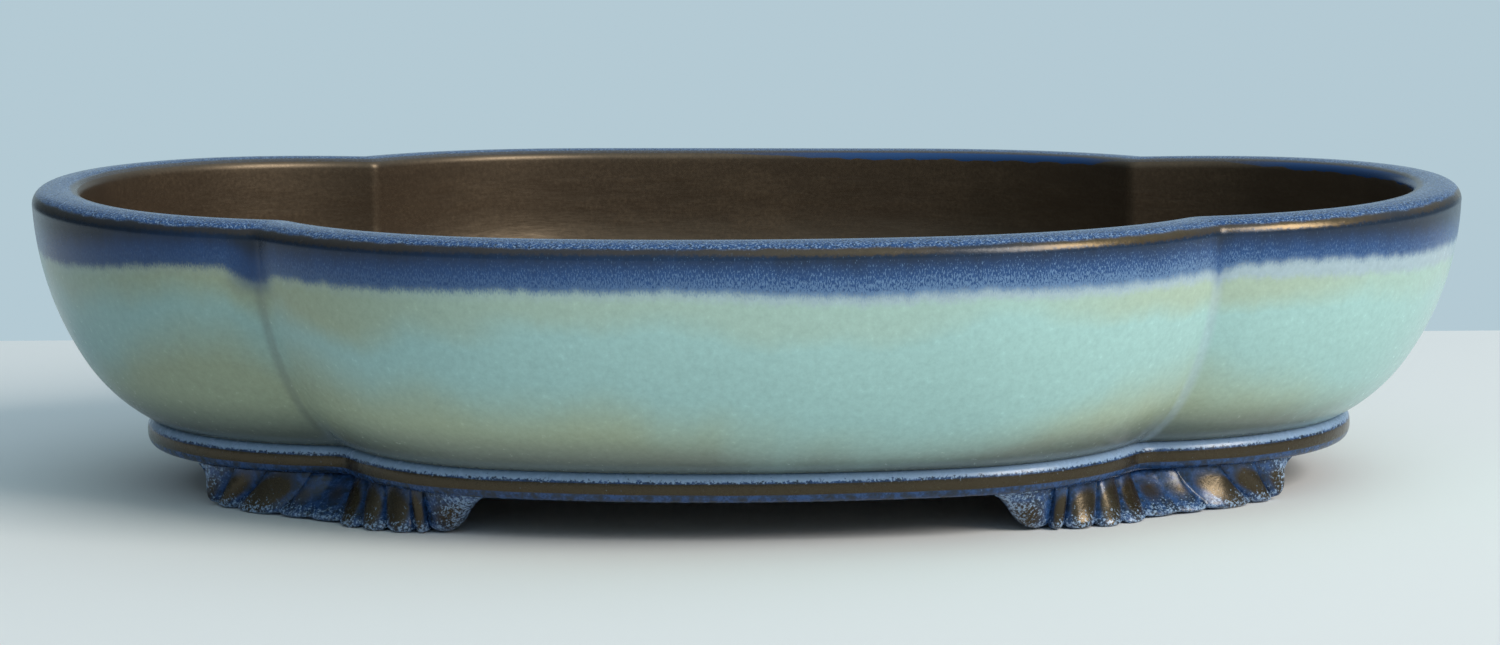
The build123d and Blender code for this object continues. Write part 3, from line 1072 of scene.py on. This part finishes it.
class TRAY_OT_set_stage(bpy.types.Operator):
    """Sets the pale table, the soft lights and the camera"""

    bl_idname = "tray.set_stage"
    bl_label = "Set Stage"

    def execute(self, context):
        scene = context.scene
        scene.view_settings.view_transform = "Standard"
        low, high = (-TABLE_REACH, -TABLE_REACH), (TABLE_REACH, TABLE_BACK)
        corners = [(low[0], low[1], 0), (high[0], low[1], 0), (high[0], high[1], 0), (low[0], high[1], 0)]
        stage_plane("pale_table", corners, TABLE_TONE)
        world = bpy.data.worlds.new("studio")
        world.use_nodes = True
        wire = Wiring(world.node_tree)
        facing = wire.add("ShaderNodeTexCoord").outputs["Generated"]
        parts = wire.add("ShaderNodeSeparateXYZ", None, Vector=facing).outputs
        behind = wire.times(wire.rise(parts[1], 0.80, 0.93), wire.rise(parts[2], 0.35, 0.22))
        above = wire.times(wire.rise(parts[2], 0.05, 0.9), 0.85)
        ahead = wire.times(wire.rise(parts[1], 0.1, -0.9), 0.32)
        dome = wire.plus(0.27, wire.plus(above, ahead))
        dome = wire.times(dome, wire.plus(0.52, wire.times(wire.rise(parts[0], -1.0, 0.5), 0.62)))
        dome = wire.arithmetic("MAXIMUM", dome, wire.times(wire.rise(parts[2], 0.0, -0.1), 1.2))
        background = world.node_tree.nodes["Background"]
        background.inputs["Color"].default_value = SKY_TONE
        wire.feed(background.inputs["Strength"], wire.blend_value(behind, dome, 1.0))
        scene.world = world
        middle = (0, 0, 0.04)
        stage_light("key", KEY_PLACE, middle, 1.5, 88, KEY_TONE)
        camera = bpy.data.cameras.new("camera")
        camera.sensor_width = 36
        camera.lens = CAMERA_LENS
        camera.clip_start = 0.01
        eye = bpy.data.objects.new("camera", camera)
        turn = math.radians(CAMERA_TURN)
        eye.location = (
            CAMERA_DISTANCE * math.sin(turn), -CAMERA_DISTANCE * math.cos(turn), CAMERA_HEIGHT
        )
        eye.rotation_euler = (math.radians(90 - CAMERA_PITCH), 0, math.radians(CAMERA_HEADING))
        eye.rotation_euler.rotate_axis("Z", math.radians(CAMERA_ROLL))
        scene.collection.objects.link(eye)
        scene.camera = eye
        return {"FINISHED"}


STEPS = ("mix_glazes", "build_walls", "build_lip", "build_belt", "build_feet", "dress_floor", "set_stage")


class TRAY_PT_panel(bpy.types.Panel):
    """Lists the tray's settings and steps"""

    bl_idname = "TRAY_PT_panel"
    bl_label = "Mokko Tray"
    bl_space_type = "VIEW_3D"
    bl_region_type = "UI"
    bl_category = "Tray"

    def draw(self, context):
        for step in STEPS:
            self.layout.operator(f"tray.{step}")
        for group in (context.scene.tray_plan, context.scene.tray_foot, context.scene.tray_glaze):
            for name in group.__annotations__:
                self.layout.prop(group, name)


SETTINGS = {
    "tray_plan": TrayPlanSettings,
    "tray_section": TraySectionSettings,
    "tray_foot": TrayFootSettings,
    "tray_glaze": TrayGlazeSettings,
}
OPERATORS = (
    TRAY_OT_mix_glazes,
    TRAY_OT_build_walls,
    TRAY_OT_build_lip,
    TRAY_OT_build_belt,
    TRAY_OT_build_feet,
    TRAY_OT_dress_floor,
    TRAY_OT_set_stage,
)


def register():
    """Registers the settings, the operators and the panel."""
    for name, group in SETTINGS.items():
        bpy.utils.register_class(group)
        setattr(bpy.types.Scene, name, bpy.props.PointerProperty(type=group))
    for kind in (*OPERATORS, TRAY_PT_panel):
        bpy.utils.register_class(kind)


def unregister():
    """Takes everything back out."""
    for kind in (TRAY_PT_panel, *reversed(OPERATORS)):
        bpy.utils.unregister_class(kind)
    for name, group in reversed(SETTINGS.items()):
        delattr(bpy.types.Scene, name)
        bpy.utils.unregister_class(group)


def main():
    """Runs every step in order."""
    register()
    for step in STEPS:
        getattr(bpy.ops.tray, step)()


if __name__ == "__main__":
    main()
